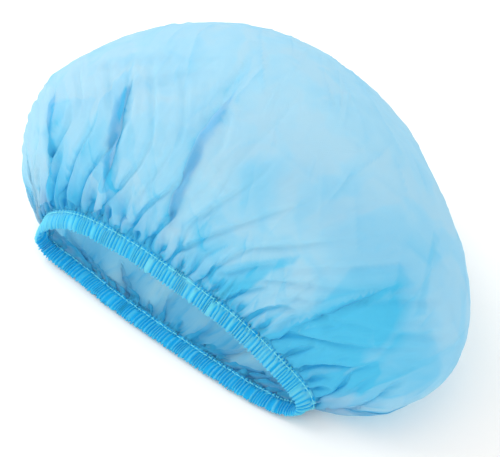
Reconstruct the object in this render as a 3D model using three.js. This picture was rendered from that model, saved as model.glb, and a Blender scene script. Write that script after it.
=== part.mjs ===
// A disposable bouffant cap (hairnet) lying on its side on a flat surface, as it
// lies when it is taken out of the pack and puffed up by hand.
//
// It is one disc of thin non-woven fabric whose edge is gathered to about a
// quarter of its length: the crown. The edge is held in a narrow turned hem, and
// the hem holds a flat elastic loop. The opening faces -Y, its long way runs along
// X, and the crown swells back along +Y. Lengths are in millimetres, +Z is up, and
// the cap rests on z = 0.

import * as THREE from "three";

// Sizes of the whole cap.
const CROWN_WIDTH = 292;
const CROWN_DEPTH = 171;
const CROWN_HEIGHT = 145;

// The opening, measured along the edge of the hem while the elastic is relaxed.
const OPENING_LENGTH = 176;
const OPENING_HEIGHT = 45;
const OPENING_BOW = 9;

// Fabric, hem and elastic. The crown's wall stands for one ply of crinkled fabric.
const CROWN_WALL = 1.2;
const HEM_WALL = 1;
const HEM_WIDTH = 10;
const ELASTIC_THICKNESS = 1.2;
const ELASTIC_WIDTH = 4.6;
const CLEARANCE = 0.4;
const SEAM_DEPTH = 2.2;

// Ribs of the hem and gathers of the crown. Each takes two columns of the mesh.
const HEM_RIBS = 84;
const RIB_HEIGHT = 0.5;
const CROWN_GATHERS = 42;
const GATHER_DEPTH = 2.2;
const GATHER_REACH = 62;

// Where the crown presses on the surface, it is flat this far above its own sag.
const FLOOR_SAG = 7;

// Rows of the crown between the hem and the first section, which stand closer at
// the hem, and between two sections. The first rows are held in the hem.
const ROWS_AT_GATHERS = 6;
const CROWDING = 1.6;
const ROWS_ELSEWHERE = 2;
const HELD_ROWS = 2;

const CHANNEL = Math.max(CROWN_WALL, ELASTIC_THICKNESS) + 2 * CLEARANCE;
const HEM_HALF = CHANNEL / 2 + HEM_WALL;
const HEM_REST = HEM_HALF + RIB_HEIGHT;
const HEM_COLUMNS = 2 * HEM_RIBS;
const CROWN_COLUMNS = 2 * CROWN_GATHERS;

// The edge of the opening, a row for each place round it. clock is the angle in
// degrees seen from the front, 0 at the right end. across is a share of half the
// opening's length, back of its bow, up of its height. pitch is the angle in
// degrees by which the hem rises towards the crown, and splay is how far it turns
// outwards.
const EDGE = [
  { clock: 0, across: 1.02, back: -0.35, up: 0.19, pitch: 16, splay: 0.42 },
  { clock: 20, across: 0.94, back: -0.15, up: 0.35, pitch: 32, splay: 0.3 },
  { clock: 45, across: 0.69, back: 0, up: 0.58, pitch: 44, splay: 0.1 },
  { clock: 65, across: 0.41, back: 0, up: 0.8, pitch: 46, splay: 0.05 },
  { clock: 90, across: 0, back: 0, up: 0.94, pitch: 45, splay: 0 },
  { clock: 115, across: -0.4, back: 0, up: 1, pitch: 45, splay: 0 },
  { clock: 140, across: -0.78, back: 0, up: 0.92, pitch: 42, splay: 0.1 },
  { clock: 160, across: -1.03, back: 0.03, up: 0.62, pitch: 32, splay: 0.2 },
  { clock: 180, across: -1.14, back: 0.05, up: 0.27, pitch: 20, splay: 0.25 },
  { clock: 200, across: -1.08, back: 0.03, up: 0.05, pitch: 10, splay: 0.2 },
  { clock: 220, across: -0.86, back: -0.1, up: 0, pitch: 5, splay: 0.1 },
  { clock: 245, across: -0.48, back: -0.55, up: 0, pitch: 3, splay: 0 },
  { clock: 270, across: 0, back: -0.85, up: 0, pitch: 3, splay: 0 },
  { clock: 300, across: 0.48, back: -1, up: 0, pitch: 3, splay: 0 },
  { clock: 325, across: 0.79, back: -0.9, up: 0, pitch: 4, splay: 0.15 },
  { clock: 345, across: 0.96, back: -0.6, up: 0.05, pitch: 8, splay: 0.35 },
];

// Sections across the crown, from the opening to the back. back is a share of the
// crown's depth, side and half of its width, waist and high of its height. sag is a
// share of the sag on the surface, and lift of the height where the crown curves
// up off it. lean is how far the top stands behind the middle, and round and foot
// are the fullness of the upper and the lower half.
const SECTIONS = [
  { back: 0.13, side: 0.01, half: 0.455, waist: 0.27, high: 0.865, sag: 0.4, lift: 0, lean: 0.045, round: 2, foot: 2.8 },
  { back: 0.32, side: 0.006, half: 0.504, waist: 0.29, high: 0.94, sag: 1, lift: 0, lean: 0.05, round: 2, foot: 2.7 },
  { back: 0.52, side: 0.004, half: 0.46, waist: 0.31, high: 0.995, sag: 1, lift: 0, lean: 0.03, round: 1.9, foot: 2.6 },
  { back: 0.72, side: -0.02, half: 0.355, waist: 0.32, high: 0.895, sag: 0.6, lift: 0, lean: 0, round: 1.9, foot: 2.4 },
  { back: 0.86, side: -0.03, half: 0.26, waist: 0.32, high: 0.75, sag: 0, lift: 0.03, lean: -0.02, round: 2, foot: 2.1 },
  { back: 0.965, side: -0.015, half: 0.15, waist: 0.33, high: 0.55, sag: 0, lift: 0.14, lean: -0.02, round: 2, foot: 2 },
];
const BACK_POINT = { back: 1, side: -0.01, high: 0.36 };

// The main folds that run from the hem over the crown. at is the place round the
// cap as a share of its edge, counted as clock is, and drift is how far the fold
// moves round on its way. from and to are shares of the way to the back point.
// width is a share of the edge and depth one of the gathers' depth.
const FOLDS = [
  { at: 0.05, drift: -0.03, from: 0.02, to: 0.5, width: 0.018, depth: 1.6 },
  { at: 0.12, drift: 0.03, from: 0.02, to: 0.55, width: 0.016, depth: 2 },
  { at: 0.18, drift: -0.02, from: 0.04, to: 0.5, width: 0.02, depth: 1.8 },
  { at: 0.25, drift: 0.04, from: 0.02, to: 0.8, width: 0.018, depth: 2.4 },
  { at: 0.31, drift: 0.05, from: 0.03, to: 0.85, width: 0.018, depth: 2.2 },
  { at: 0.36, drift: 0.02, from: 0.02, to: 0.7, width: 0.022, depth: 3 },
  { at: 0.41, drift: 0.01, from: 0.02, to: 0.5, width: 0.014, depth: 1.8 },
  { at: 0.46, drift: 0, from: 0.02, to: 0.4, width: 0.016, depth: 2 },
  { at: 0.56, drift: -0.02, from: 0.05, to: 0.5, width: 0.02, depth: 1.8 },
  { at: 0.88, drift: 0.02, from: 0.05, to: 0.5, width: 0.02, depth: 1.8 },
];

const point = (x, y, z) => new THREE.Vector3(x, y, z);
const radians = THREE.MathUtils.degToRad;
const smooth = THREE.MathUtils.smoothstep;

// A value between b and c by a cubic through a, b, c and d, where ta to td are the
// places of the four along the way and t lies between tb and tc.
function cubic(a, b, c, d, ta, tb, tc, td, t) {
  const span = tc - tb;
  const out = ((c - a) / (tc - ta)) * span;
  const into = ((d - b) / (td - tb)) * span;
  const f = (t - tb) / span;
  const g = f * f;
  const h = g * f;
  return (2 * h - 3 * g + 1) * b + (h - 2 * g + f) * out + (3 * g - 2 * h) * c + (h - g) * into;
}

// The row of the opening's edge at any clock angle, smoothed between the rows above.
function edgeRow(clock) {
  const count = EDGE.length;
  const turn = 360;
  const next = EDGE.findIndex((row) => row.clock > clock);
  const after = next < 0 ? count : next;
  const four = [after - 2, after - 1, after, after + 1];
  const rows = four.map((i) => EDGE[(i + count) % count]);
  const clocks = four.map((i, k) => rows[k].clock + turn * Math.floor(i / count));
  const value = (name) => cubic(...rows.map((row) => row[name]), ...clocks, clock);
  return {
    at: point(
      (value("across") * OPENING_LENGTH) / 2,
      value("back") * OPENING_BOW,
      HEM_REST + Math.max(value("up"), 0) * OPENING_HEIGHT,
    ),
    rise: point(
      value("splay") * Math.cos(radians(clock)),
      Math.cos(radians(value("pitch"))),
      Math.sin(radians(value("pitch"))),
    ),
  };
}

// count places round a closed run of items, each with a point "at": evenly spaced,
// but closer by turnLength for each radian where the run turns.
function evenly(items, count, turnLength) {
  const steps = items.map((item, i) => items[(i + 1) % items.length].at.clone().sub(item.at));
  const far = [0];
  steps.forEach((step, i) => {
    const turn = step.angleTo(steps[(i + 1) % steps.length]);
    far.push(far[i] + step.length() + turnLength * turn);
  });
  const whole = far[items.length];
  return Array.from({ length: count }, (_, k) => {
    const want = (whole * k) / count;
    const i = Math.max(far.findIndex((length) => length > want) - 1, 0);
    const share = (want - far[i]) / (far[i + 1] - far[i]);
    const next = items[(i + 1) % items.length];
    const found = { at: items[i].at.clone().lerp(next.at, share) };
    if (items[i].rise) found.rise = items[i].rise.clone().lerp(next.rise, share);
    return found;
  });
}

// The hem's own axes at each column: "at" on the opening's edge, "inward" towards
// the crown and "outward" away from the wearer's hair.
const CLOCK_STEPS = 720;
const TURN_LENGTH = 14;
const clocks = Array.from({ length: CLOCK_STEPS }, (_, i) => (360 * i) / CLOCK_STEPS);
const edgePlaces = evenly(clocks.map(edgeRow), HEM_COLUMNS, TURN_LENGTH);
const hemFrames = edgePlaces.map(({ at, rise }, i) => {
  const before = edgePlaces[(i + HEM_COLUMNS - 1) % HEM_COLUMNS].at;
  const after = edgePlaces[(i + 1) % HEM_COLUMNS].at;
  const along = after.clone().sub(before).normalize();
  const inward = rise.clone().addScaledVector(along, -rise.dot(along)).normalize();
  const outward = inward.clone().cross(along).normalize();
  return { at, inward, outward };
});

// A place on or in the hem, so far inward from its edge and outward from its middle.
const onHem = ({ at, inward, outward }, far, out) =>
  at.clone().addScaledVector(inward, far).addScaledVector(outward, out);

// A closed ring from rows of points, one row for each column round the cap.
function ringGeometry(columns) {
  const around = columns.length;
  const across = columns[0].length;
  const positions = columns.flat().flatMap((p) => [p.x, p.y, p.z]);
  const faces = [];
  for (let i = 0; i < around; i++) {
    for (let j = 0; j < across; j++) {
      const a = i * across + j;
      const b = i * across + ((j + 1) % across);
      const c = ((i + 1) % around) * across + j;
      const d = ((i + 1) % around) * across + ((j + 1) % across);
      faces.push(a, c, b, b, c, d);
    }
  }
  return indexed(positions, faces);
}

function indexed(positions, faces) {
  const geometry = new THREE.BufferGeometry();
  geometry.setAttribute("position", new THREE.Float32BufferAttribute(positions, 3));
  geometry.setIndex(faces);
  geometry.computeVertexNormals();
  return geometry;
}

// The hem: the fabric's turned edge, folded at the opening and open towards the
// crown, with a channel for the elastic. Its two walls are ribbed by the gathering.
const ELASTIC_START = HEM_WALL + CLEARANCE;
function hemGeometry() {
  const columns = hemFrames.map((frame, i) => {
    const rib = i % 2 ? 0 : RIB_HEIGHT;
    const section = [
      [HEM_WIDTH, HEM_HALF],
      [0.62 * HEM_WIDTH, HEM_HALF + rib],
      [0.2 * HEM_WIDTH, HEM_HALF + rib],
      [0, 0.45 * HEM_HALF + rib / 2],
      [0, -0.45 * HEM_HALF - rib / 2],
      [0.2 * HEM_WIDTH, -HEM_HALF - rib],
      [0.62 * HEM_WIDTH, -HEM_HALF - rib],
      [HEM_WIDTH, -HEM_HALF],
      [HEM_WIDTH, -CHANNEL / 2],
      [HEM_WALL, -CHANNEL / 2],
      [HEM_WALL, CHANNEL / 2],
      [HEM_WIDTH, CHANNEL / 2],
    ];
    return section.map(([far, out]) => onHem(frame, far, out));
  });
  return ringGeometry(columns);
}

// The flat elastic loop, lying free in the hem's channel.
function elasticGeometry() {
  const half = ELASTIC_THICKNESS / 2;
  const end = ELASTIC_START + ELASTIC_WIDTH;
  const columns = hemFrames
    .filter((_, i) => i % 2 === 0)
    .map((frame) => [
      onHem(frame, end, half),
      onHem(frame, ELASTIC_START, half),
      onHem(frame, ELASTIC_START, -half),
      onHem(frame, end, -half),
    ]);
  return ringGeometry(columns);
}

// One section across the crown as evenly spaced places.
function sectionLoop(row) {
  const waist = row.waist * CROWN_HEIGHT;
  const low = row.lift * CROWN_HEIGHT - row.sag * FLOOR_SAG;
  const places = clocks.map((clock) => {
    const cosine = Math.cos(radians(clock));
    const sine = Math.sin(radians(clock));
    const power = 2 / (sine < 0 ? row.foot : row.round);
    const wide = Math.sign(cosine) * Math.abs(cosine) ** power;
    const tall = Math.sign(sine) * Math.abs(sine) ** power;
    const height = sine < 0 ? waist - low : row.high * CROWN_HEIGHT - waist;
    return {
      at: point(
        (row.side + row.half * wide) * CROWN_WIDTH,
        (row.back + row.lean * tall) * CROWN_DEPTH,
        waist + height * tall,
      ),
    };
  });
  return evenly(places, CROWN_COLUMNS, 0).map(({ at }) => at);
}

// The crown's smooth form: rows of points from inside the hem to the back point.
function crownRows() {
  const frames = hemFrames.filter((_, i) => i % (HEM_COLUMNS / CROWN_COLUMNS) === 0);
  const tucked = frames.map((frame) => onHem(frame, HEM_WIDTH - SEAM_DEPTH, 0));
  const lip = frames.map((frame) => onHem(frame, HEM_WIDTH + CLEARANCE + CROWN_WALL / 2, 0));
  const loops = SECTIONS.map(sectionLoop);
  const tip = point(
    BACK_POINT.side * CROWN_WIDTH,
    BACK_POINT.back * CROWN_DEPTH,
    BACK_POINT.high * CROWN_HEIGHT,
  );
  const last = loops[loops.length - 1];
  const half = CROWN_COLUMNS / 2;
  const beyond = last.map((_, i) => last[(i + half) % CROWN_COLUMNS]);
  const stops = [tucked, lip, ...loops, last.map(() => tip), beyond];
  const rows = [tucked];
  for (let k = 1; k < stops.length - 2; k++) {
    const steps = k === 1 ? ROWS_AT_GATHERS : ROWS_ELSEWHERE;
    const crowding = k === 1 ? CROWDING : 1;
    for (let step = 0; step < steps; step++) {
      const share = (step / steps) ** crowding;
      rows.push(tucked.map((_, i) => between(stops.slice(k - 1, k + 3).map((stop) => stop[i]), share)));
    }
  }
  return { rows, tip, held: frames.map(({ outward }) => outward) };
}

// A point between the second and the third of four, on a curve through all of them.
function between(four, share) {
  const places = [0];
  for (let k = 1; k < 4; k++) places.push(places[k - 1] + four[k].distanceTo(four[k - 1]));
  const t = places[1] + share * (places[2] - places[1]);
  const along = (axis) => cubic(...four.map((p) => p[axis]), ...places, t);
  return point(along("x"), along("y"), along("z"));
}

// How far the fabric stands out of the smooth form at a place: fine gathers that
// die away from the hem, and the main folds pressed in between them.
function ripple(column, reached, share) {
  const fading = smooth(reached, 0.03 * GATHER_REACH, 0.2 * GATHER_REACH) * (1 - smooth(reached, 0, GATHER_REACH));
  const gather = (column % 2 ? -1 : 1) * GATHER_DEPTH * fading;
  const place = column / CROWN_COLUMNS;
  const folds = FOLDS.reduce((sum, fold) => {
    const turned = place - fold.at - fold.drift * share;
    const off = (turned - Math.round(turned)) / fold.width;
    const window = smooth(share, fold.from, fold.from + 0.1) * (1 - smooth(share, fold.to - 0.25, fold.to));
    return sum - fold.depth * GATHER_DEPTH * window * Math.exp(-off * off);
  }, 0);
  return gather + folds;
}

// The crown: a hollow wall of even thickness, open at the hem.
function crownGeometry() {
  const { rows, tip, held } = crownRows();
  const columns = CROWN_COLUMNS;
  const outwardAt = (r, i) => {
    if (r < HELD_ROWS) return held[i];
    const up = r + 1 < rows.length ? rows[r + 1][i] : tip;
    const ahead = rows[r][(i + 1) % columns].clone().sub(rows[r][(i + columns - 1) % columns]);
    return up.clone().sub(rows[r - 1][i]).cross(ahead).normalize();
  };
  const reached = rows.map(() => Array(columns).fill(0));
  for (let r = HELD_ROWS; r < rows.length; r++) {
    for (let i = 0; i < columns; i++) {
      reached[r][i] = reached[r - 1][i] + rows[r][i].distanceTo(rows[r - 1][i]);
    }
  }
  const outside = [];
  const inside = [];
  rows.forEach((row, r) => {
    row.forEach((p, i) => {
      const outward = outwardAt(r, i);
      const whole = reached[rows.length - 1][i];
      const out = r < HELD_ROWS ? 0 : ripple(i, reached[r][i], reached[r][i] / whole);
      const skin = p.clone().addScaledVector(outward, out + CROWN_WALL / 2);
      const lining = p.clone().addScaledVector(outward, out - CROWN_WALL / 2);
      skin.z = Math.max(skin.z, 0);
      lining.z = Math.max(lining.z, CROWN_WALL);
      outside.push(skin);
      inside.push(lining);
    });
  });
  const backward = point(0, 1, 0);
  const skinTip = tip.clone().addScaledVector(backward, CROWN_WALL / 2);
  const liningTip = tip.clone().addScaledVector(backward, -CROWN_WALL / 2);
  return shellGeometry(outside, inside, skinTip, liningTip, rows.length, columns);
}

// Closes two matching skins at their tips and along their open edge.
function shellGeometry(outside, inside, skinTip, liningTip, rows, columns) {
  const all = [...outside, ...inside, skinTip, liningTip];
  const positions = all.flatMap((p) => [p.x, p.y, p.z]);
  const lining = outside.length;
  const outerTip = 2 * lining;
  const innerTip = outerTip + 1;
  const faces = [];
  for (let i = 0; i < columns; i++) {
    const j = (i + 1) % columns;
    for (let r = 0; r < rows - 1; r++) {
      const a = r * columns + i;
      const b = r * columns + j;
      const c = a + columns;
      const d = b + columns;
      faces.push(a, c, b, b, c, d);
      faces.push(lining + a, lining + b, lining + c, lining + b, lining + d, lining + c);
    }
    const end = (rows - 1) * columns;
    faces.push(end + i, outerTip, end + j);
    faces.push(lining + end + i, lining + end + j, innerTip);
    faces.push(i, j, lining + i, j, lining + j, lining + i);
  }
  return indexed(positions, faces);
}

const fabric = (colour) => new THREE.MeshStandardMaterial({ color: colour, roughness: 0.85, metalness: 0 });
const SKY_BLUE = 0x9ed7ee;
const HEM_BLUE = 0x46b2df;
const ELASTIC_WHITE = 0xe6f2f7;

function piece(name, geometry, colour) {
  const mesh = new THREE.Mesh(geometry, fabric(colour));
  mesh.name = name;
  return mesh;
}

const cap = new THREE.Group();
cap.name = "bouffant_cap";
cap.add(
  piece("crown", crownGeometry(), SKY_BLUE),
  piece("hem", hemGeometry(), HEM_BLUE),
  piece("elastic", elasticGeometry(), ELASTIC_WHITE),
);

// The origin is under the middle of the cap, on the surface that it rests on.
const reach = new THREE.Box3().setFromObject(cap);
const middle = reach.getCenter(point(0, 0, 0));
cap.position.set(-middle.x, -middle.y, -reach.min.z);

export default cap;
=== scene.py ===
import logging
import math
from dataclasses import astuple, dataclass, field
from enum import Enum

import bpy
import numpy as np
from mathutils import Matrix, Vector


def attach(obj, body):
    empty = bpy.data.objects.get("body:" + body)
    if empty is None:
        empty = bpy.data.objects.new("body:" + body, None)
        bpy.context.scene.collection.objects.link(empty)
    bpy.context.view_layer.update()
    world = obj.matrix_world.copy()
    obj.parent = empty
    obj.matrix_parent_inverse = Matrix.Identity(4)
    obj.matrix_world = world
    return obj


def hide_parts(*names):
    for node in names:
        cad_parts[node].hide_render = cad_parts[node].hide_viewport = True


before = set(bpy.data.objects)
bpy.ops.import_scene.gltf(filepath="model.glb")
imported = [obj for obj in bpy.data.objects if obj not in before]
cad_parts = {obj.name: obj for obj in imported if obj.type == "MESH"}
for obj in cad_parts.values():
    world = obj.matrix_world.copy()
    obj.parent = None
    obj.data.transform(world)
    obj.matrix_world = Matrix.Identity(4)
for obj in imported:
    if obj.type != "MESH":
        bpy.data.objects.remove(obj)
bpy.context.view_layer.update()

log = logging.getLogger("bouffant_cap")

MM = 0.001
SEED = 20


@dataclass(frozen=True)
class EdgeRow:
    """One place round the opening's edge, in the same terms as the CAD's table."""

    clock: float
    across: float
    back: float
    up: float
    pitch: float
    splay: float


@dataclass(frozen=True)
class SectionRow:
    """One section across the crown, in the same terms as the CAD's table."""

    back: float
    side: float
    half: float
    waist: float
    high: float
    sag: float
    lift: float
    lean: float
    round: float
    foot: float


EDGE = (
    EdgeRow(0, 1.02, -0.35, 0.19, 16, 0.42),
    EdgeRow(20, 0.94, -0.15, 0.35, 32, 0.3),
    EdgeRow(45, 0.69, 0, 0.58, 44, 0.1),
    EdgeRow(65, 0.41, 0, 0.8, 46, 0.05),
    EdgeRow(90, 0, 0, 0.94, 45, 0),
    EdgeRow(115, -0.4, 0, 1, 45, 0),
    EdgeRow(140, -0.78, 0, 0.92, 42, 0.1),
    EdgeRow(160, -1.03, 0.03, 0.62, 32, 0.2),
    EdgeRow(180, -1.14, 0.05, 0.27, 20, 0.25),
    EdgeRow(200, -1.08, 0.03, 0.05, 10, 0.2),
    EdgeRow(220, -0.86, -0.1, 0, 5, 0.1),
    EdgeRow(245, -0.48, -0.55, 0, 3, 0),
    EdgeRow(270, 0, -0.85, 0, 3, 0),
    EdgeRow(300, 0.48, -1, 0, 3, 0),
    EdgeRow(325, 0.79, -0.9, 0, 4, 0.15),
    EdgeRow(345, 0.96, -0.6, 0.05, 8, 0.35),
)

SECTIONS = (
    SectionRow(0.13, 0.01, 0.455, 0.27, 0.865, 0.4, 0, 0.045, 2, 2.8),
    SectionRow(0.32, 0.006, 0.504, 0.29, 0.94, 1, 0, 0.05, 2, 2.7),
    SectionRow(0.52, 0.004, 0.46, 0.31, 0.995, 1, 0, 0.03, 1.9, 2.6),
    SectionRow(0.72, -0.02, 0.355, 0.32, 0.895, 0.6, 0, 0, 1.9, 2.4),
    SectionRow(0.86, -0.03, 0.26, 0.32, 0.75, 0, 0.03, -0.02, 2, 2.1),
    SectionRow(0.965, -0.015, 0.15, 0.33, 0.55, 0, 0.14, -0.02, 2, 2),
)


# How strongly the hem's gathers show in the crown, at shares of the way round.
GATHERING = (
    (0.0, 0.7), (0.06, 0.5), (0.14, 0.35), (0.22, 0.45), (0.29, 0.8), (0.36, 1.15),
    (0.46, 1.15), (0.52, 0.8), (0.6, 0.45), (0.75, 0.4), (0.88, 0.45), (0.95, 0.7),
)


def smoothstep(value: np.ndarray, low: float, high: float) -> np.ndarray:
    """Gives 0 below low, 1 above high and a smooth rise between them."""
    share = np.clip((value - low) / (high - low), 0.0, 1.0)
    return share * share * (3.0 - 2.0 * share)


def turn_off(turns: np.ndarray, start: float) -> np.ndarray:
    """Gives how far round each place lies from a start, the shorter way."""
    return (turns - start + 0.5) % 1.0 - 0.5


def cubic(four: list, places: list, place: np.ndarray) -> np.ndarray:
    """Runs a cubic through four values, between the second and the third.

    Args:
        four: The four values.
        places: Where each of them lies along the way.
        place: Where to read, between the second place and the third.

    Returns:
        The value there.
    """
    a, b, c, d = four
    ta, tb, tc, td = places
    span = tc - tb
    leaving = (c - a) / (tc - ta) * span
    arriving = (d - b) / (td - tb) * span
    f = (place - tb) / span
    g = f * f
    h = g * f
    return (2 * h - 3 * g + 1) * b + (h - 2 * g + f) * leaving + (3 * g - 2 * h) * c + (h - g) * arriving


@dataclass
class CapForm:
    """The cap's smooth form: the same sizes and tables as the CAD solids, in metres."""

    crown_width: float = 292 * MM
    crown_depth: float = 171 * MM
    crown_height: float = 145 * MM
    opening_length: float = 176 * MM
    opening_height: float = 45 * MM
    opening_bow: float = 9 * MM
    hem_width: float = 10 * MM
    hem_rest: float = 2.5 * MM
    lip: float = 1 * MM
    seam_depth: float = 2.2 * MM
    floor_sag: float = 7 * MM
    turn_length: float = 14 * MM
    tip_side: float = -0.01
    tip_high: float = 0.36
    shift: tuple = (-2.0 * MM, -81.57 * MM, 0.0)
    clock_steps: int = 720
    neighbour: float = 1 / 168

    def edge_runs(self) -> tuple:
        """Samples the opening's edge.

        Returns:
            The places of the edge and the direction in which the hem rises from each.
        """
        clocks = np.arange(self.clock_steps) * 360.0 / self.clock_steps
        table = np.array([astuple(row) for row in EDGE])
        count = len(table)
        after = np.searchsorted(table[:, 0], clocks, side="right")
        four, places = [], []
        for step in (-2, -1, 0, 1):
            index = after + step
            four.append(table[index % count, 1:])
            places.append((table[index % count, 0] + 360.0 * (index // count))[:, None])
        across, back, up, pitch, splay = cubic(four, places, clocks[:, None]).T
        at = np.stack(
            [
                across * self.opening_length / 2,
                back * self.opening_bow,
                self.hem_rest + np.maximum(up, 0) * self.opening_height,
            ],
            -1,
        )
        angle = np.radians(pitch)
        rise = np.stack([splay * np.cos(np.radians(clocks)), np.cos(angle), np.sin(angle)], -1)
        return at, rise

    @staticmethod
    def spread(at: np.ndarray, others: np.ndarray, turns: np.ndarray, turn_length: float) -> tuple:
        """Reads a closed run at given shares of its way round.

        Args:
            at: The run's points.
            others: A second value at each point.
            turns: The shares of the way round to read at.
            turn_length: How much length each radian of turning counts for.

        Returns:
            The points and the second values there.
        """
        steps = np.roll(at, -1, 0) - at
        length = np.linalg.norm(steps, axis=1)
        following = np.roll(steps, -1, 0)
        cosine = (steps * following).sum(1) / (length * np.roll(length, -1))
        far = np.concatenate([[0], np.cumsum(length + turn_length * np.arccos(np.clip(cosine, -1, 1)))])
        want = far[-1] * (turns % 1.0)
        closed = np.concatenate([at, at[:1]])
        closed_others = np.concatenate([others, others[:1]])
        places = np.stack([np.interp(want, far, closed[:, k]) for k in range(3)], -1)
        values = np.stack([np.interp(want, far, closed_others[:, k]) for k in range(others.shape[1])], -1)
        return places, values

    def hem_frames(self, turns: np.ndarray) -> tuple:
        """Gives the hem's own axes.

        Args:
            turns: Shares of the way round the opening.

        Returns:
            The edge's places, the directions towards the crown and the directions outwards.
        """
        at, rise = self.edge_runs()
        place, lift = self.spread(at, rise, turns, self.turn_length)
        before, _ = self.spread(at, rise, turns - self.neighbour, self.turn_length)
        after, _ = self.spread(at, rise, turns + self.neighbour, self.turn_length)
        along = unit(after - before)
        inward = unit(lift - along * (lift * along).sum(1, keepdims=True))
        outward = unit(np.cross(inward, along))
        return place + np.array(self.shift), inward, outward

    def section_loop(self, row: SectionRow, turns: np.ndarray) -> np.ndarray:
        """Gives one section's places.

        Args:
            row: The section.
            turns: Shares of the way round.

        Returns:
            The places on it.
        """
        clocks = np.radians(np.arange(self.clock_steps) * 360.0 / self.clock_steps)
        cosine, sine = np.cos(clocks), np.sin(clocks)
        power = 2.0 / np.where(sine < -1e-12, row.foot, row.round)
        wide = np.sign(cosine) * np.abs(cosine) ** power
        tall = np.sign(sine) * np.abs(sine) ** power
        waist = row.waist * self.crown_height
        low = row.lift * self.crown_height - row.sag * self.floor_sag
        height = np.where(sine < 0, waist - low, row.high * self.crown_height - waist)
        at = np.stack(
            [
                (row.side + row.half * wide) * self.crown_width,
                (row.back + row.lean * tall) * self.crown_depth,
                waist + height * tall,
            ],
            -1,
        )
        places, _ = self.spread(at, at, turns, 0.0)
        return places + np.array(self.shift)

    def tip(self) -> np.ndarray:
        """Gives the crown's back point."""
        return np.array(
            [self.tip_side * self.crown_width, self.crown_depth, self.tip_high * self.crown_height]
        ) + np.array(self.shift)

    def meridians(self, turns: np.ndarray, steps: int = 24) -> np.ndarray:
        """Samples the crown's smooth form from the lip of the hem to the back point.

        Args:
            turns: Shares of the way round, one for each meridian.
            steps: Samples between two sections.

        Returns:
            Places, sample by sample along each meridian.
        """
        place, inward, _ = self.hem_frames(turns)
        tucked = place + inward * (self.hem_width - self.seam_depth)
        lip = place + inward * (self.hem_width + self.lip)
        loops = [self.section_loop(row, turns) for row in SECTIONS]
        tip = np.repeat(self.tip()[None], len(turns), 0)
        opposite = (turns + 0.5) % 1.0
        beyond = self.section_loop(SECTIONS[-1], opposite)
        stops = [tucked, lip, *loops, tip, beyond]
        rows = []
        for k in range(1, len(stops) - 2):
            four = stops[k - 1 : k + 3]
            gaps = [np.linalg.norm(four[i + 1] - four[i], axis=1, keepdims=True) for i in range(3)]
            places = [0 * gaps[0], gaps[0], gaps[0] + gaps[1], gaps[0] + gaps[1] + gaps[2]]
            for step in range(steps):
                rows.append(cubic(four, places, places[1] + gaps[1] * step / steps))
        rows.append(tip)
        return np.array(rows)


class FormTable:
    """The smooth form sampled once, to read at any place on it."""

    # Distances from the back point: where the dome is fitted, and where it gives way to the form.
    DOME_FIT = (0.05, 0.3)
    DOME_BLEND = (0.1, 0.28)
    # The dome's terms: how often each turns round the back point, and its powers of the distance.
    DOME_TERMS = ((1, (1, 3)), (2, (2, 4)), (3, (3,)))
    FLOOR_GAP = 0.6 * MM

    def __init__(self, form: CapForm, turns: int = 1536, ways: int = 241) -> None:
        """Samples the form.

        Args:
            form: The cap's form.
            turns: Samples round the cap.
            ways: Samples from the lip of the hem to the back point.
        """
        share = np.arange(turns) / turns
        dense = form.meridians(share)
        steps = np.linalg.norm(np.diff(dense, axis=0), axis=2)
        far = np.concatenate([np.zeros((1, turns)), np.cumsum(steps, 0)])
        even = np.linspace(0, 1, ways)
        places = np.empty((ways, turns, 3))
        for j in range(turns):
            for k in range(3):
                places[:, j, k] = np.interp(even * far[-1, j], far[:, j], dense[:, j, k])
        places = self.rounded_back(places, even, share)
        places[..., 2] = np.maximum(places[..., 2], self.FLOOR_GAP)
        self.length = far[-1][None]
        self.places = places
        self.outward = surface_normals(places)

    def rounded_back(self, places: np.ndarray, ways: np.ndarray, turns: np.ndarray) -> np.ndarray:
        """Replaces the form round the back point by an even dome, so that no point shows.

        Args:
            places: The sampled form.
            ways: Each row's share of the way to the back point.
            turns: Each column's share of the way round.

        Returns:
            The form with a rounded back.
        """
        near = 1.0 - ways[:, None] + 0 * turns[None]
        angle = 2 * math.pi * turns[None] + 0 * near
        basis = [near**0, near**2, near**4]
        for order, powers in self.DOME_TERMS:
            for power in powers:
                basis += [near**power * wave(order * angle) for wave in (np.cos, np.sin)]
        basis = np.stack(basis, -1)
        used = (near[:, 0] > self.DOME_FIT[0]) & (near[:, 0] < self.DOME_FIT[1])
        weights, *_ = np.linalg.lstsq(
            basis[used].reshape(-1, basis.shape[-1]), places[used].reshape(-1, 3), rcond=None
        )
        share = smoothstep(near, *self.DOME_BLEND)[..., None]
        return basis @ weights * (1 - share) + places * share

    def grid(self, ways: np.ndarray, columns: int) -> tuple:
        """Reads the form on an even grid.

        Args:
            ways: Each row's share of the way to the back point.
            columns: How many columns go round the cap.

        Returns:
            Places, outward directions and distances from the hem's lip.
        """
        turns = np.broadcast_to(np.arange(columns) / columns, (len(ways), columns))
        rows = np.broadcast_to(ways[:, None], turns.shape)
        at = read_grid(self.places, rows * (len(self.places) - 1), turns)
        out = unit(read_grid(self.outward, rows * (len(self.outward) - 1), turns))
        samples = self.length.shape[1]
        length = np.interp(turns[0], np.arange(samples) / samples, self.length[0])
        return at, out, rows * length


def unit(vectors: np.ndarray) -> np.ndarray:
    """Scales vectors to a length of one."""
    return vectors / np.maximum(np.linalg.norm(vectors, axis=-1, keepdims=True), 1e-12)


def surface_normals(places: np.ndarray) -> np.ndarray:
    """Gives the outward direction at each place of a grid that is closed round."""
    along = np.roll(places, -1, 1) - np.roll(places, 1, 1)
    up = np.gradient(places, axis=0)
    out = unit(np.cross(up, along))
    out[-1] = unit(out[-2].mean(0, keepdims=True))
    return out


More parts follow.
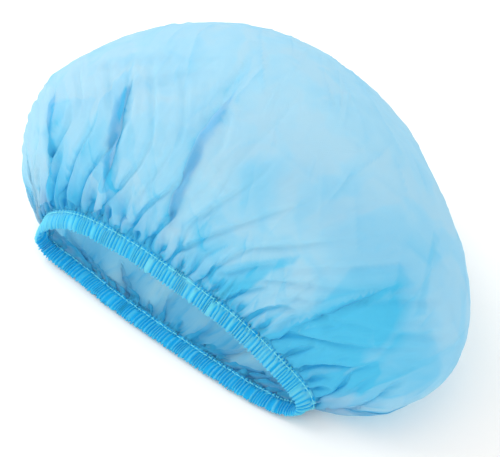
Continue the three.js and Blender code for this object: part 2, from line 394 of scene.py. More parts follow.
def read_grid(table: np.ndarray, rows: np.ndarray, turns: np.ndarray) -> np.ndarray:
    """Reads a table that is closed round with a cubic between its samples.

    Args:
        table: Samples, rows by columns by any number of values.
        rows: Row numbers to read at, with fractions.
        turns: Shares of the way round to read at.

    Returns:
        The values there.
    """
    count, around = table.shape[:2]
    x = (turns % 1.0) * around
    y = np.clip(rows, 0, count - 1)
    i, j = np.minimum(np.floor(y).astype(int), count - 2), np.floor(x).astype(int)

    def weights(f: np.ndarray) -> list:
        """Gives the four weights of a smooth cubic for a fraction."""
        g, h = f * f, f * f * f
        return [(2 * g - h - f) / 2, (3 * h - 5 * g + 2) / 2, (4 * g - 3 * h + f) / 2, (h - g) / 2]

    total = 0.0
    for a, wa in zip((-1, 0, 1, 2), weights(y - i)):
        row = np.clip(i + a, 0, count - 1)
        for b, wb in zip((-1, 0, 1, 2), weights(x - j)):
            total = total + table[row, (j + b) % around] * (wa * wb)[..., None]
    return total


def wander(rng: np.random.Generator, columns: int, low: int, high: int) -> np.ndarray:
    """Makes a smooth random run that closes round.

    Args:
        rng: The seeded source of numbers.
        columns: How many values to make.
        low: The fewest waves round the run.
        high: The most waves round the run.

    Returns:
        Values with a mean of zero and a spread of one.
    """
    turns = 2 * np.pi * np.arange(columns) / columns
    total = np.zeros(columns)
    for order in range(low, high + 1):
        total += rng.normal() * np.cos(order * turns + rng.uniform(0, 2 * np.pi))
    return total / max(total.std(), 1e-9)


@dataclass
class ClothSettling:
    """Cloth that is cut longer than the form it covers and settles into its own folds.

    Threads run round the cap, along its meridians and on both diagonals, and threads
    over two cells keep it from folding too sharply. Air inside holds it out.
    """

    stiff: float = 0.9
    shear: float = 0.45
    bend: float = 0.35
    share: float = 0.3
    momentum: float = 0.86
    air: float = 0.012 * MM
    homing: float = 0.004
    floor: float = 0.5 * MM
    own_length: float = 0.6

    def settle(
        self,
        at: np.ndarray,
        form: np.ndarray,
        gather: np.ndarray,
        slack: np.ndarray,
        steps: int,
        reach: np.ndarray,
        back_rows: int,
    ) -> np.ndarray:
        """Lets the cloth settle.

        Args:
            at: Places to start from.
            form: The form it is kept near.
            gather: How many times wider than the form the cloth is cut, per place.
            slack: How many times longer than the form it is cut, per place.
            steps: How many steps to take.
            reach: The furthest that each place may lie from the form, in metres.
            back_rows: Rows at the back point that stay on the form.

        Returns:
            The settled places.
        """
        families = self.threads(form, gather, slack)
        hold = np.ones((len(at), 1, 1))
        hold[0] = 0.0
        hold[-back_rows:] = np.linspace(1, 0, back_rows)[:, None, None]
        moving = np.zeros_like(at)
        for _ in range(steps):
            change = self.air * surface_normals(at) + self.homing * (form - at)
            for rows, columns, rest, stiff in families:
                gap = np.roll(at, -columns, 1)[rows:] - at[: len(at) - rows]
                length = np.sqrt((gap * gap).sum(-1)) + 1e-9
                pull = gap * (0.5 * self.share * stiff * (1 - rest / length))[..., None]
                change[: len(at) - rows] += pull
                change[rows:] -= np.roll(pull, columns, 1)
            moving = (moving * self.momentum + change) * hold
            at = at + moving
            off = at - form
            far = np.sqrt((off * off).sum(-1)) + 1e-9
            at = form + off * np.minimum(1.0, reach / far)[..., None]
            at[..., 2] = np.maximum(at[..., 2], self.floor)
        return at

    def threads(self, form: np.ndarray, gather: np.ndarray, slack: np.ndarray) -> list:
        """Lists the families of threads as row step, column step, cut length and stiffness."""
        around = np.linalg.norm(np.roll(form, -1, 1) - form, axis=2)
        mean = around.mean(1, keepdims=True)
        around = (self.own_length * around + (1 - self.own_length) * mean) * gather
        along = np.linalg.norm(form[1:] - form[:-1], axis=2) * slack[1:]
        across = np.hypot(0.5 * (around[1:] + around[:-1]), along)
        return [
            (0, 1, around, self.stiff),
            (1, 0, along, self.stiff),
            (1, 1, across, self.shear),
            (1, -1, across, self.shear),
            (0, 2, 2 * around, self.bend),
            (2, 0, along[1:] + along[:-1], self.bend),
        ]


@dataclass
class CrownCloth:
    """The crown's fabric: how full it is cut, how fine its grid is and how it settles."""

    table: FormTable
    columns: tuple = (96, 192, 384)
    rows: tuple = (40, 72, 120)
    steps: tuple = (160, 130, 110)
    crowding: float = 0.62
    short_fullness: float = 2.1
    short_reach: float = 13 * MM
    long_fullness: float = 0.15
    long_reach: float = 40 * MM
    short_shares: tuple = (0.0, 0.45, 1.0)
    ease: float = 0.018
    way_slack: float = 1.003
    near_reach: float = 1.2 * MM
    reach_rise: float = 0.35
    most_reach: float = 9 * MM
    back_rows: int = 6
    even_over: int = 129
    # The starting waves of each grid: fewest and most round the cap, height and reach in millimetres.
    waves: tuple = ((4, 12, 1.6, 60), (14, 36, 0.8, 28), (44, 84, 0.6, 10))

    def ways(self, rows: int) -> np.ndarray:
        """Spaces rows from the hem's lip to the back point, closest at the hem."""
        share = np.linspace(0, 1, rows)
        return share * (1 - self.crowding) + share * share * self.crowding

    def fullness(self, far: np.ndarray, level: int) -> np.ndarray:
        """Says how many times wider than the form the cloth is cut.

        Args:
            far: Distances from the hem's lip.
            level: Which grid it is for: only the finer ones hold the short gathers.

        Returns:
            The fullness at each place.
        """
        turns = np.arange(far.shape[1]) / far.shape[1]
        local = np.interp(turns, *zip(*GATHERING), period=1.0)[None]
        short = self.short_fullness * local * self.short_shares[level]
        return (
            1
            + self.ease
            + short * np.exp(-far / self.short_reach)
            + self.long_fullness * local * np.exp(-far / self.long_reach)
        )

    def settled(self, rng: np.random.Generator, quick: bool) -> tuple:
        """Settles the cloth on ever finer grids.

        Args:
            rng: The seeded source of numbers.
            quick: Whether to take only a few steps.

        Returns:
            The settled places, the rows' shares of the way to the back point, and the
            distances from the hem's lip.
        """
        cloth = ClothSettling()
        at = None
        for level, (columns, rows, steps) in enumerate(zip(self.columns, self.rows, self.steps)):
            ways = self.ways(rows)
            form, outward, far = self.table.grid(ways, columns)
            offset = np.zeros_like(form)
            if at is not None:
                coarse, coarse_ways = at
                row_at = np.interp(ways, coarse_ways, np.arange(len(coarse_ways)))
                turns = np.broadcast_to(np.arange(columns) / columns, (rows, columns))
                row_at = np.broadcast_to(row_at[:, None], turns.shape)
                offset = read_grid(coarse, row_at, turns)
            offset = offset + self.seeds(rng, columns, far, level)[..., None] * outward
            settled = cloth.settle(
                form + offset,
                form,
                self.fullness(far, level),
                self.way_slack + 0 * far,
                steps // 4 if quick else steps,
                np.minimum(self.most_reach, self.near_reach + self.reach_rise * far),
                self.back_rows,
            )
            at = (settled - form, ways)
        swollen = (at[0] * outward).sum(-1)
        window = np.hanning(self.even_over) / ((self.even_over - 1) / 2)
        runs = [np.convolve(np.tile(row, 3), window, "same") for row in swollen]
        even = np.array(runs)[:, columns:-columns]
        return settled - outward * even[..., None], ways, far

    def seeds(
        self, rng: np.random.Generator, columns: int, far: np.ndarray, level: int
    ) -> np.ndarray:
        """Gives the small starting waves that the folds grow from.

        Args:
            rng: The seeded source of numbers.
            columns: Columns round the cap.
            far: Distances from the hem's lip.
            level: Which grid it is for.

        Returns:
            Heights above the form.
        """
        low, high, size, fade = self.waves[level]
        first, second = wander(rng, columns, low, high), wander(rng, columns, low, high)
        share = smoothstep(far, 0, 2.5 * fade * MM)
        wave = first[None] * (1 - share) + second[None] * share
        return size * MM * wave * np.exp(-far / (fade * MM)) * smoothstep(far, 0, 3 * MM)


@dataclass(frozen=True)
class Tuck:
    """A fold in which the fabric lies three plies deep.

    at is its place as a share of the way round, drift how far it moves round on its
    way, and start and end the shares of the way to the back point that it spans.
    width is the share of the way round that it takes up, and depth how far its
    inner plies lie inside the outer one. A side of -1 turns its edge the other way.
    """

    at: float
    drift: float
    start: float
    end: float
    width: float
    depth: float = 1.6 * MM
    side: int = 1
    lap: float = 0.9
    fade_in: float = 0.3
    fade_out: float = 0.3


@dataclass(frozen=True)
class Crease:
    """A soft valley between two places on the crown, or a ridge where its depth is negative.

    Each place is a share of the way round and a share of the way to the back point.
    """

    turn_from: float
    way_from: float
    turn_to: float
    way_to: float
    width: float
    depth: float


@dataclass(frozen=True)
class Overlap:
    """A place where the fabric's blue is made deeper or paler: mostly where it lies over itself, in some
    places as painted shade.

    plies is how much deeper, soft the width of its edge in metres, and corners the
    places of its corners, each a share of the way round and of the way to the back.
    """

    plies: float
    soft: float
    corners: tuple

    def cover(
        self, turns: np.ndarray, ways: np.ndarray, girth: np.ndarray, length: float
    ) -> np.ndarray:
        """Says how far each place lies inside the overlap.

        Args:
            turns: Shares of the way round.
            ways: Shares of the way to the back point.
            girth: The way round in metres at each share of the way to the back.
            length: The usual way to the back point in metres.

        Returns:
            Values from 0 outside to 1 inside.
        """
        corners = np.array(self.corners)
        start = corners[0, 0]
        middle = corners[:, 1].mean()
        scale = np.interp(middle, np.linspace(0, 1, len(girth)), girth)
        x = turn_off(turns, start) * scale
        y = ways * length
        corner_x = turn_off(corners[:, 0], start) * scale
        corner_y = corners[:, 1] * length
        nearest = np.full(turns.shape, 1.0)
        inside = np.zeros(turns.shape, dtype=bool)
        for k in range(len(corners)):
            ax, ay = corner_x[k - 1], corner_y[k - 1]
            bx, by = corner_x[k] - ax, corner_y[k] - ay
            along = np.clip(((x - ax) * bx + (y - ay) * by) / (bx * bx + by * by), 0, 1)
            nearest = np.minimum(nearest, np.hypot(x - ax - along * bx, y - ay - along * by))
            crosses = (ay > y) != (corner_y[k] > y)
            inside ^= crosses & (x < ax + (y - ay) / np.where(by == 0, 1e-9, by) * bx)
        signed = np.where(inside, nearest, -nearest)
        return smoothstep(signed, -0.5 * self.soft, 0.5 * self.soft)


@dataclass(frozen=True)
class Streaks:
    """Many small folds of one kind, each with a crisp edge and a soft one, and painted shade beside it.

    ways are the least and greatest share of the way to the back point, lengths and
    widths the least and greatest size, plies how much deeper the blue is painted at
    the crisp edge as the fold's shade, fading over the width, relief how far the edge
    stands up, and lean the usual angle to the way to the back and its spread.
    """

    count: int
    ways: tuple
    lengths: tuple
    widths: tuple
    plies: tuple
    relief: float
    lean: tuple
    seed: int
    bend: float = 0.12
    edge: float = 0.5 * MM
    edge_width: float = 1.2 * MM

    def cover(self, turns: np.ndarray, ways: np.ndarray, girth: np.ndarray, length: float) -> tuple:
        """Adds the folds up.

        Args:
            turns: Shares of the way round.
            ways: Shares of the way to the back point.
            girth: The way round in metres at each share of the way to the back.
            length: The usual way to the back point in metres.

        Returns:
            How much deeper the blue is and how far the fabric stands up at each place.
        """
        rng = np.random.default_rng(self.seed)
        deeper, raised = np.zeros(turns.shape), np.zeros(turns.shape)
        shares = np.linspace(0, 1, len(girth))
        for _ in range(self.count):
            turn, way = rng.random(), rng.uniform(*self.ways)
            reach, width = rng.uniform(*self.lengths), rng.uniform(*self.widths)
            plies, lean = rng.uniform(*self.plies), rng.normal(*self.lean)
            side, bend = rng.choice((-1, 1)), rng.normal(0, self.bend)
            x = turn_off(turns, turn) * np.interp(way, shares, girth)
            y = (ways - way) * length
            along = (y * math.cos(lean) + x * math.sin(lean)) / reach
            bowed = bend * reach * along * along
            beside = (x * math.cos(lean) - y * math.sin(lean) - bowed) * side
            window = smoothstep(1 - np.abs(2 * along), 0.0, 0.7)
            crisp = smoothstep(beside, -self.edge, self.edge)
            # Painted shade: deeper blue from each fold's crisp edge, fading over its width.
            deeper += plies * window * crisp * np.exp(-np.maximum(beside, 0) / width)
            raised += self.relief * window * np.exp(-((beside / self.edge_width) ** 2))
        return deeper, raised


TUCKS = (
    Tuck(0.268, 0.012, 0.0, 0.52, 0.012, fade_out=0.4),
    Tuck(0.352, 0.014, 0.03, 0.42, 0.015, side=-1, fade_in=0.4, fade_out=0.5),
    Tuck(0.108, -0.022, 0.0, 0.36, 0.007, 1.2 * MM, side=-1, lap=0.6, fade_out=0.4),
    Tuck(0.44, 0.012, 0.02, 0.34, 0.011, fade_in=0.4, fade_out=0.4),
    Tuck(0.55, -0.02, 0.2, 0.85, 0.02, 1.4 * MM, fade_out=0.5),
    Tuck(0.6, 0.02, 0.25, 0.85, 0.02, 1.4 * MM, side=-1, fade_out=0.5),
    Tuck(0.73, 0.0, 0.22, 0.88, 0.02, 1.4 * MM, fade_out=0.5),
    Tuck(0.83, -0.02, 0.3, 0.85, 0.022, 1.4 * MM, side=-1, fade_out=0.5),
    Tuck(0.9, 0.01, 0.25, 0.8, 0.02, 1.4 * MM, fade_out=0.5),
    Tuck(0.965, -0.015, 0.02, 0.5, 0.014, 1.4 * MM, fade_out=0.5),
    Tuck(0.5, 0.01, 0.3, 0.85, 0.018, 1.4 * MM, side=-1, fade_in=0.4, fade_out=0.5),
)

# Most of these corners were picked by eye in the photograph, and a scratch program turned
# them into shares of the smooth form.
OVERLAPS = (
    # The left end, made paler.
    Overlap(-0.6, 7 * MM, (
        (0.464, 0.02), (0.458, 0.2), (0.453, 0.28), (0.5, 0.32), (0.54, 0.2), (0.54, 0.02),
    )),
    # The whole lower right, where the crown turns under: painted shade, a deeper blue away from the light.
    Overlap(0.22, 34 * MM, (
        (0.11, 0.02), (0.1, 0.3), (0.06, 0.42), (0.0, 0.4), (0.95, 0.3), (0.97, 0.0),
    )),
    # The right half, painted a little deeper than the left as shade, away from the light.
    Overlap(0.36, 45 * MM, (
        (0.206, 0.296), (0.184, 0.404), (0.154, 0.458), (0.107, 0.508), (0.051, 0.45), (0.027, 0.36),
        (0.996, 0.225), (0.013, 0.054), (0.083, 0.08), (0.148, 0.15),
    )),
    # The dark wedge.
    Overlap(0.7, 1.2 * MM, (
        (0.373, 0.367), (0.36, 0.296), (0.354, 0.262), (0.357, 0.225), (0.354, 0.158), (0.349, 0.104),
        (0.336, 0.083), (0.359, 0.075), (0.377, 0.121), (0.389, 0.2), (0.385, 0.246), (0.38, 0.304),
    )),
    # The fold beside the wedge.
    Overlap(0.3, 1.2 * MM, (
        (0.378, 0.392), (0.362, 0.333), (0.346, 0.262), (0.336, 0.233), (0.325, 0.154), (0.301, 0.071),
        (0.336, 0.033), (0.357, 0.117), (0.357, 0.229), (0.365, 0.321),
    )),
    # The step at the left end.
    Overlap(0.6, 1.5 * MM, (
        (0.448, 0.242), (0.39, 0.267), (0.391, 0.217), (0.379, 0.138), (0.363, 0.05), (0.362, 0.012),
        (0.44, 0), (0.456, 0.071), (0.456, 0.142), (0.448, 0.204),
    )),
    # Above the step.
    Overlap(0.3, 2.0 * MM, (
        (0.448, 0.396), (0.4, 0.425), (0.378, 0.392), (0.379, 0.317), (0.39, 0.267), (0.406, 0.271),
        (0.415, 0.329),
    )),
    # The long fold's lower part.
    Overlap(0.25, 1.5 * MM, (
        (0.275, 0.158), (0.279, 0.233), (0.283, 0.275), (0.279, 0.329), (0.278, 0.362), (0.273, 0.396),
        (0.263, 0.379), (0.271, 0.342), (0.276, 0.296), (0.271, 0.246), (0.263, 0.133), (0.264, 0.042),
        (0.271, 0.033),
    )),
    # The long fold's upper part.
    Overlap(0.3, 2.0 * MM, (
        (0.277, 0.4), (0.283, 0.44), (0.291, 0.496), (0.286, 0.508), (0.276, 0.458), (0.271, 0.41),
    )),
    # The fold right of it.
    Overlap(0.4, 9 * MM, (
        (0.243, 0.179), (0.242, 0.229), (0.24, 0.288), (0.234, 0.325), (0.212, 0.362), (0.186, 0.267),
        (0.183, 0.167), (0.206, 0.071), (0.238, 0.083), (0.248, 0.117),
    )),
    # The deep place over the middle of the hem.
    Overlap(0.8, 3.0 * MM, (
        (0.211, 0.025), (0.188, 0.108), (0.166, 0.175), (0.151, 0.221), (0.149, 0.2), (0.158, 0.15),
        (0.16, 0.1), (0.163, 0.054), (0.16, 0.012), (0.194, 0.025),
    )),
    # The broad fold at the right end.
    Overlap(0.7, 18.0 * MM, (
        (0.108, 0.029), (0.109, 0.092), (0.106, 0.171), (0.1, 0.238), (0.085, 0.296), (0.074, 0.296),
        (0.055, 0.246), (0.049, 0.221), (0.042, 0.167), (0.04, 0.112), (0.046, 0.05), (0.053, 0.008),
        (0.079, 0.021),
    )),
    # The oval inside it.
    Overlap(0.45, 2.5 * MM, (
        (0.096, 0.083), (0.08, 0.171), (0.054, 0.183), (0.059, 0.125), (0.06, 0.046), (0.083, 0.021),
    )),
    # Below the thin light line.
    Overlap(0.5, 4.0 * MM, (
        (0.049, 0.004), (0.037, 0.108), (0.04, 0.167), (0.027, 0.162), (0.01, 0.112), (0.012, 0.029),
        (0.016, 0),
    )),
    # Above the broad fold.
    Overlap(0.35, 3.0 * MM, (
        (0.108, 0.175), (0.118, 0.275), (0.098, 0.338), (0.079, 0.325), (0.085, 0.296), (0.1, 0.238),
    )),
    # Under the right end.
    Overlap(0.4, 4.0 * MM, (
        (0.055, 0.246), (0.043, 0.288), (0, 0.267), (0.992, 0.188), (0.998, 0.067), (0.04, 0.167),
    )),
    # The upright fold at the right.
    Overlap(0.3, 2.0 * MM, (
        (0.093, 0.433), (0.085, 0.433), (0.08, 0.375), (0.056, 0.3), (0.06, 0.283), (0.083, 0.367),
    )),
)

# Folds whose shade is painted as deeper blue.
STREAKS = (
    # The short ones beside the hem.
    Streaks(
        170, (0.0, 0.16), (9 * MM, 34 * MM), (0.9 * MM, 3.0 * MM), (0.25, 0.8), 0.25 * MM, (0.1, 0.2), 31
    ),
    # The long ones that run up the crown.
    Streaks(
        120, (0.08, 0.75), (30 * MM, 90 * MM), (3 * MM, 10 * MM), (0.15, 0.55), 0.4 * MM, (0.3, 0.35), 32
    ),
    # The ones that lie across it.
    Streaks(
        100, (0.15, 0.95), (18 * MM, 46 * MM), (2 * MM, 9 * MM), (0.15, 0.45), 0.4 * MM, (1.0, 0.6), 33
    ),
)

CREASES = (
    Crease(0.49, 0.13, 0.57, 0.1, 15 * MM, 2.8 * MM),
    Crease(0.336, 0.35, 0.305, 0.48, 2.4 * MM, 1.2 * MM),
    Crease(0.113, 0.01, 0.111, 0.19, 1.6 * MM, 0.9 * MM),
    Crease(0.119, 0.01, 0.131, 0.26, 1.6 * MM, 0.9 * MM),
    Crease(0.108, 0.03, 0.085, 0.3, 2.0 * MM, 1.2 * MM),
    Crease(0.054, 0.0, 0.038, 0.14, 1.3 * MM, -0.7 * MM),
    Crease(0.038, 0.12, 0.051, 0.23, 1.3 * MM, -0.7 * MM),
    Crease(0.101, 0.25, 0.079, 0.32, 1.6 * MM, 0.9 * MM),
    Crease(0.24, 0.03, 0.24, 0.3, 2.2 * MM, 1.1 * MM),
    Crease(0.24, 0.27, 0.234, 0.46, 2.6 * MM, 0.9 * MM),
    Crease(0.264, 0.04, 0.282, 0.25, 1.8 * MM, 0.9 * MM),
    Crease(0.282, 0.23, 0.286, 0.5, 2.4 * MM, 0.9 * MM),
    Crease(0.093, 0.44, 0.06, 0.3, 2.6 * MM, 0.9 * MM),
    Crease(0.448, 0.24, 0.39, 0.267, 1.8 * MM, 0.8 * MM),
    Crease(0.456, 0.07, 0.448, 0.25, 2.0 * MM, 0.9 * MM),
    Crease(0.2, 0.4, 0.15, 0.52, 3.0 * MM, 0.9 * MM),
    Crease(0.16, 0.3, 0.13, 0.47, 2.6 * MM, 0.8 * MM),
    Crease(0.3, 0.12, 0.31, 0.3, 1.8 * MM, 0.8 * MM),
    Crease(0.06, 0.55, 0.12, 0.66, 3.0 * MM, 0.9 * MM),
    Crease(0.42, 0.5, 0.36, 0.62, 3.0 * MM, 0.9 * MM),
    Crease(0.55, 0.3, 0.6, 0.5, 3.0 * MM, 0.9 * MM),
    Crease(0.95, 0.3, 0.9, 0.55, 3.0 * MM, 0.9 * MM),
)


@dataclass
class Pleats:
    """The fine pleats of the hem, in which the crown's first rows lie too."""

    form: CapForm
    count: int = 192
    height: float = 0.95 * MM
    columns_each: int = 8
    late_spread: float = 0.26
    late_most: float = 0.45
    late_wander: float = 0.5
    tall_range: tuple = (0.3, 1.3)
    roundness: float = 0.92
    peak: float = 1.17

    def __post_init__(self) -> None:
        """Measures the hem's edge, so that the pleats stand evenly along it."""
        self.turns = np.linspace(0, 1, 2049)
        place, _, _ = self.form.hem_frames(self.turns)
        far = np.concatenate([[0], np.cumsum(np.linalg.norm(np.diff(place, axis=0), axis=1))])
        self.shares = far / far[-1]

    def wave(self, turns: np.ndarray, seed: int = 0, merged: int = 1) -> np.ndarray:
        """Gives the pleats' height round the hem, uneven as sewn pleats are.

        Args:
            turns: Shares of the way round.
            seed: A number for pleats of the same pitch and other unevenness.
            merged: How many pleats make one fold.

        Returns:
            Heights from -1 to 1, about.
        """
        rng = np.random.default_rng(SEED + seed)
        count = self.count // merged
        steps = np.arange(count + 1) / count
        late = np.clip(rng.normal(0, self.late_spread, count), -self.late_most, self.late_most)
        late = late + self.late_wander * wander(rng, count, 9, 30)
        tall = rng.uniform(*self.tall_range, count)
        late = np.append(late, late[0])
        tall = np.append(tall, tall[0])
        share = np.interp(turns % 1.0, self.turns, self.shares)
        phase = share * count + np.interp(share, steps, late)
        folds = np.arcsin(self.roundness * np.sin(2 * np.pi * phase))
        return np.interp(share, steps, tall) * folds / self.peak


@dataclass
class Mesh:
    """Points, faces and flat coordinates of a mesh in the making."""

    points: list = field(default_factory=list)
    faces: list = field(default_factory=list)
    flat: list = field(default_factory=list)

    def add_grid(self, points: np.ndarray, flat: np.ndarray) -> int:
        """Adds a grid of points, rows by columns, with the quads between them.

        The last column joins the first.

        Args:
            points: The places.
            flat: Their flat coordinates.

        Returns:
            The number of the grid's first point.
        """
        rows, columns = points.shape[:2]
        first = sum(len(p) for p in self.points)
        self.points.append(points.reshape(-1, 3))
        self.flat.append(flat.reshape(-1, 2))
        number = first + np.arange(rows * columns).reshape(rows, columns)
        beside = np.roll(number, -1, 1)
        quads = np.stack([number[:-1], beside[:-1], beside[1:], number[1:]], -1)
        self.faces.append(quads.reshape(-1, 4))
        return first

    def build(
        self, name: str, finish: bpy.types.Material, plies: np.ndarray | None = None
    ) -> bpy.types.Object:
        """Makes the object and puts it into the scene.

        Args:
            name: The piece's name.
            finish: Its material.
            plies: How much deeper the fabric's blue is at each point, from its plies and from painted shade,
                for its finish.

        Returns:
            The object.
        """
        points, flat = np.concatenate(self.points), np.concatenate(self.flat)
        faces = [tuple(dict.fromkeys(face)) for quads in self.faces for face in quads.tolist()]
        data = bpy.data.meshes.new(name)
        data.from_pydata(points.tolist(), [], faces)
        layer = data.uv_layers.new(name="flat")
        corners = np.empty(len(data.loops), dtype=np.int32)
        data.loops.foreach_get("vertex_index", corners)
        layer.data.foreach_set("uv", flat[corners].astype(np.float32).ravel())
        data.polygons.foreach_set("use_smooth", np.full(len(data.polygons), True))
        data.materials.append(finish)
        data.update()
        if plies is not None:
            layer = data.attributes.new("plies", "FLOAT", "POINT")
            layer.data.foreach_set("value", plies.astype(np.float32).ravel())
        piece = bpy.data.objects.new(name, data)
        bpy.context.collection.objects.link(piece)
        return piece


@dataclass
class Crown:
    """The crown: one disc of thin fabric, gathered into the hem and puffed up."""

    form: CapForm
    disc: float = 533 * MM
    columns: int = 768
    rows: int = 118
    held_rows: int = 5
    pleat_reach: float = 7 * MM
    relief: float = 0.35 * MM
    crumple: float = 0.8 * MM
    # Painted shade: the next fields deepen the blue between the first rows' pleats, over the gathers (there
    # partly for the gathers' plies) and where the cloth sinks in valleys near the hem.
    ruffle_valley_shade: float = 1.2
    ruffle_shade_reach: float = 6.5 * MM
    gather_plies_and_shade: float = 1.25
    gather_reach: float = 23 * MM
    valley_shade: float = 1.0
    tuck_plies: float = 0.5
    over_plies: float = 0.6
    valley_shade_reach: float = 16 * MM
    bunch: float = 1.3 * MM
    bunch_reach: float = 11 * MM
    even_rows: float = 0.42
    crowded_rows: float = 0.58
    floor_gap: float = 0.3 * MM
    # The usual size of the crown, to which the creases' shares are scaled.
    usual_girth: float = 0.75
    usual_length: float = 0.22

    def build(self, pleats: Pleats, finish: bpy.types.Material, quick: bool) -> bpy.types.Object:
        """Makes the crown's fabric.

        Args:
            pleats: The hem's pleats, which its first rows share.
            finish: The fabric's material.
            quick: Whether to settle the cloth only roughly.

        Returns:
            The crown.
        """
        places, ways, depth = self.surface(pleats, quick)
        turns = np.broadcast_to(np.arange(self.columns) / self.columns, places.shape[:2])
        mesh = Mesh()
        reach = (1 - ways) * self.disc / 2
        angle = 2 * np.pi * turns
        flat = np.stack([reach * np.cos(angle), reach * np.sin(angle)], -1) / self.disc + 0.5
        mesh.add_grid(places, flat)
        return mesh.build("crown_fabric", finish, depth)

    def surface(self, pleats: Pleats, quick: bool) -> tuple:
        """Works out the fabric's places.

        Args:
            pleats: The hem's pleats.
            quick: Whether to settle the cloth only roughly.

        Returns:
            Places by row and column, each one's share of the way to the back point, and
            how much deeper the blue is there: plies more than one, with painted shade.
        """
        rng = np.random.default_rng(SEED)
        table = FormTable(self.form)
        settled, coarse_ways, far = CrownCloth(table).settled(rng, quick)
        share = np.linspace(0, 1, self.rows)
        ways = share * self.even_rows + share * share * self.crowded_rows
        turns = np.broadcast_to(np.arange(self.columns) / self.columns, (self.rows, self.columns))
        ways = np.broadcast_to(ways[:, None], turns.shape)
        turned, sunk, over = self.tucked(turns, ways)
        folded = smoothstep(sunk, 0.1 * MM, 1.2 * MM) * self.tuck_plies
        folded = np.maximum(folded, over * self.over_plies)
        rows_at = np.interp(ways, coarse_ways, np.arange(len(coarse_ways)))
        at = read_grid(settled, rows_at, turned)
        outward = unit(read_grid(surface_normals(settled), rows_at, turned))
        length = read_grid(far[..., None], rows_at, turned)[..., 0]
        fade = np.exp(-length / self.pleat_reach)
        height = pleats.height * pleats.wave(turns) * fade
        tall = np.clip(0.8 + 0.8 * wander(rng, self.columns, 7, 40)[None], 0.0, 2.0)
        bunch = np.exp(-length / (self.bunch_reach * (0.5 + 0.5 * tall)))
        bunch = smoothstep(length, 0, 5 * MM) * bunch
        height = height + self.bunch * tall * pleats.wave(turns, 4, 2) * bunch
        laps_and_painted_shade, raised = self.laps_and_painted_shade(turned, ways, at)
        height = height - sunk - self.creased(turned, ways) + self.relief * laps_and_painted_shade + raised
        at = at + outward * height[..., None]
        form, form_out, _ = table.grid(ways[:, 0], self.columns)
        deep = -((at - form) * form_out).sum(-1)
        # Painted shade: deeper blue where the cloth sinks below the form, near the hem.
        valley = smoothstep(deep, -0.5 * MM, 2.5 * MM) * np.exp(-length / self.valley_shade_reach)
        # Deeper blue over the gathers: partly their plies, partly painted shade.
        uneven = 1 + 0.45 * wander(rng, self.columns, 5, 24)[None]
        gathered = np.exp(-length / (self.gather_reach * np.clip(uneven, 0.3, 2.2)))
        crumples = self.crumple * self.crumpled(rng, at) * smoothstep(length, 4 * MM, 30 * MM)
        at = at + outward * crumples[..., None]
        # Painted shade: deeper blue between the pleats of the first rows.
        between = (0.5 - 0.5 * pleats.wave(turns)) * np.exp(-length / self.ruffle_shade_reach)
        laps_and_painted_shade = np.maximum(laps_and_painted_shade, -1.0) + folded
        depth = self.ruffle_valley_shade * between + self.gather_plies_and_shade * gathered
        depth = np.clip(depth + self.valley_shade * valley + laps_and_painted_shade, 0.0, 3.0)
        at[-1] = at[-1].mean(0)
        held = self.held(pleats)
        places = np.concatenate([held, at])
        every = np.concatenate([np.zeros((len(held), self.columns)), ways])
        depth = np.concatenate([np.repeat(depth[:1], len(held), 0), depth])
        places[..., 2] = np.maximum(places[..., 2], self.floor_gap)
        return places, every, depth

    @staticmethod
    def crumpled(rng: np.random.Generator, at: np.ndarray) -> np.ndarray:
        """Gives the soft facets of fabric that was packed flat, as heights of about one."""
        total = np.zeros(at.shape[:2])
        for size, share in ((34, 1.0), (21, 0.8), (13, 0.55), (8, 0.3)):
            for _ in range(5):
                way = unit(rng.normal(size=3)) * 2 * np.pi / (size * MM)
                bend = 0.9 * np.sin(at @ unit(rng.normal(size=3)) * 2 * np.pi / (size * 2.3 * MM))
                total += share * (0.64 - np.abs(np.sin(0.5 * (at @ way) + bend + rng.uniform(0, 6.3))))
        return total / 3.0

    def laps_and_painted_shade(self, turns: np.ndarray, ways: np.ndarray, at: np.ndarray) -> tuple:
        """Adds up the overlaps and the folds' painted shade at each place.

        Args:
            turns: Shares of the way round.
            ways: Shares of the way to the back point.
            at: The places.

        Returns:
            How much deeper the blue is there, from plies more than one and from painted shade, and how far
            the folds' edges stand up.
        """
        girth = np.linalg.norm(np.roll(at, -1, 1) - at, axis=2).sum(1)
        girth = np.interp(np.linspace(0, 1, 60), ways[:, 0], girth)
        length = float(np.linalg.norm(np.diff(at, axis=0), axis=2).sum(0).mean())
        laps_and_painted_shade = sum(lap.plies * lap.cover(turns, ways, girth, length) for lap in OVERLAPS)
        raised = np.zeros(turns.shape)
        for streaks in STREAKS:
            deeper, stand = streaks.cover(turns, ways, girth, length)
            laps_and_painted_shade = laps_and_painted_shade + deeper
            raised += stand
        return laps_and_painted_shade, raised

    def held(self, pleats: Pleats) -> np.ndarray:
        """Gives the rows that the hem holds, from inside it to just short of its lip."""
        turns = np.arange(self.columns) / self.columns
        place, inward, outward = self.form.hem_frames(turns)
        start = self.form.hem_width - self.form.seam_depth
        end = self.form.hem_width + self.form.lip
        height = pleats.height * pleats.wave(turns)
        rows = []
        for far in np.linspace(start, end, self.held_rows + 1)[:-1]:
            rows.append(place + inward * far + outward * height[:, None])
        return np.array(rows)

